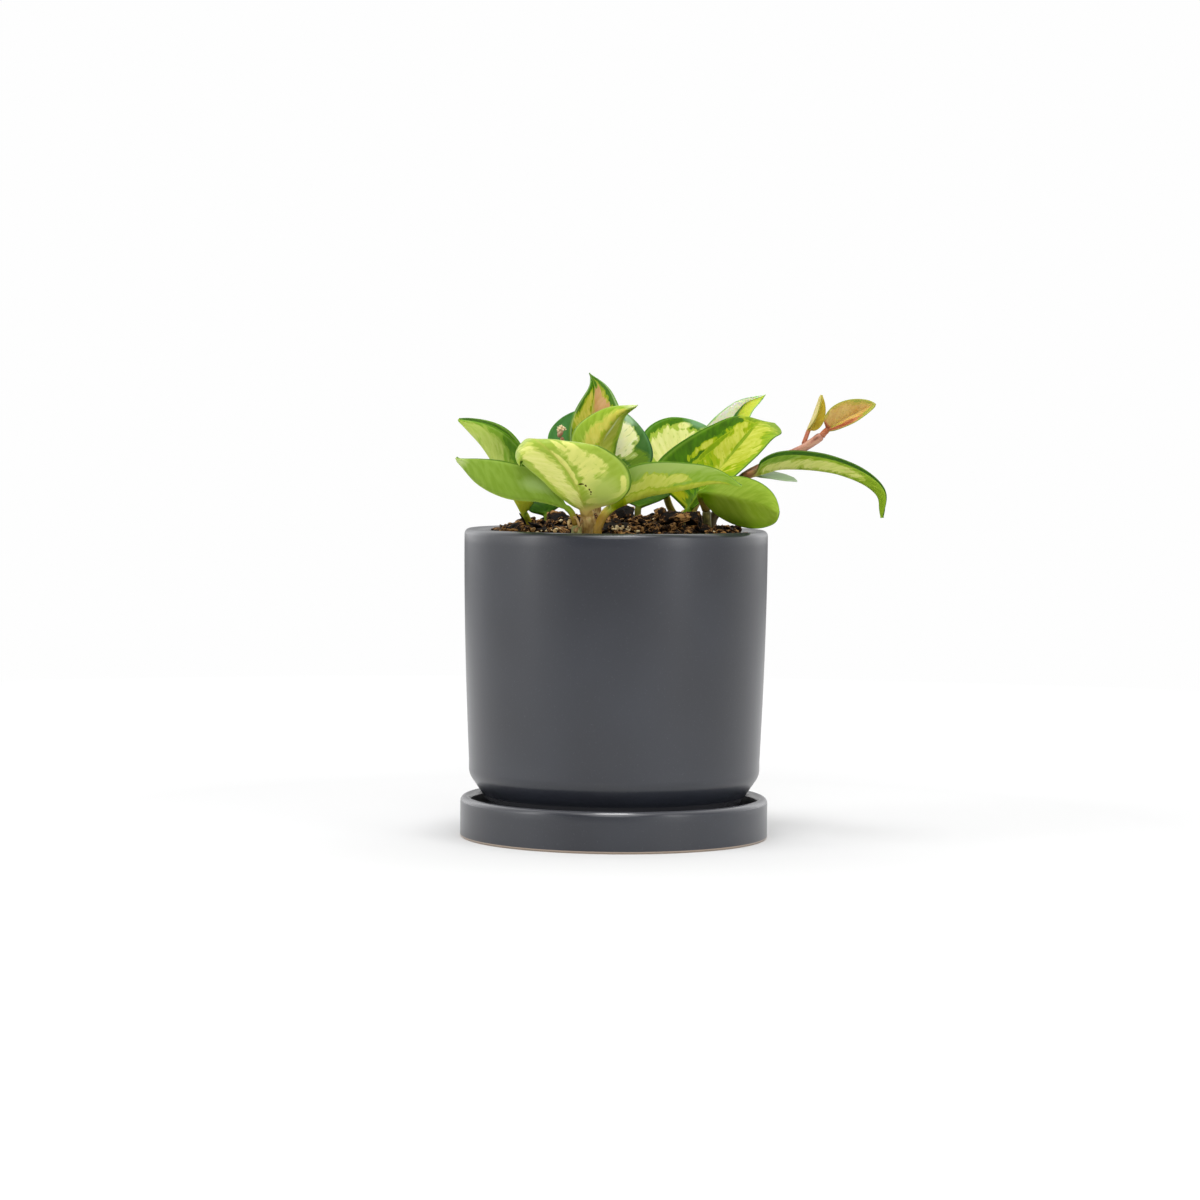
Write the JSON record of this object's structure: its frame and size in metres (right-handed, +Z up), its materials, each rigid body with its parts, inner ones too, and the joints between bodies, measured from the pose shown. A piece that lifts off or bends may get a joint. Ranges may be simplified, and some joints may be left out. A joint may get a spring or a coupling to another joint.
{
  "type": "potted wax plant",
  "caption": "Variegated wax plant with thick curved leaves, one long vine and bark mix, in a satin charcoal ceramic cylinder pot on its saucer.",
  "frame": {"origin": "centre of the saucer's flat base, on the surface that the plant stands on", "axes": "+Z up; -Y is the front that the picture shows; +X to the viewer's right, where the long vine reaches out"},
  "size_m": [0.1778, 0.1376, 0.1947],
  "materials": {
    "ceramic": "satin charcoal",
    "mix": "rough damp bark mix",
    "stem": "dull green-brown bark",
    "vine": "smooth pink-brown young stem",
    "leaf": "waxy satin leaf, green with cream and yellow variegation",
    "young_leaf": "waxy young leaf, pink, orange and olive",
    "bud": "matte pink and cream bud"
  },
  "bodies": {
    "root": {"saucer": "ceramic", "pot": "ceramic", "potting_mix": "mix", "stem_left": "stem", "stem_front": "stem", "stem_middle": "stem", "stem_back_left": "stem", "stem_back": "stem", "stem_mid_right": "stem", "stem_right": "stem", "vine": "vine", "leaf_left_high": "leaf", "leaf_left_low": "leaf", "leaf_front": "leaf", "leaf_top": "leaf", "leaf_tip_right": "leaf", "leaf_dark_left": "leaf", "leaf_cream_right": "leaf", "leaf_cream_back": "leaf", "leaf_white_tip": "leaf", "leaf_yellow_right": "leaf", "leaf_long_front": "leaf", "leaf_oval_low": "leaf", "leaf_arching": "leaf", "leaf_grey_narrow": "leaf", "leaf_low_middle": "leaf", "leaf_low_left_dark": "leaf", "leaf_back": "leaf", "leaf_young_pink": "young_leaf", "leaf_young_small": "young_leaf", "bud": "bud"}
  },
  "joints": []
}
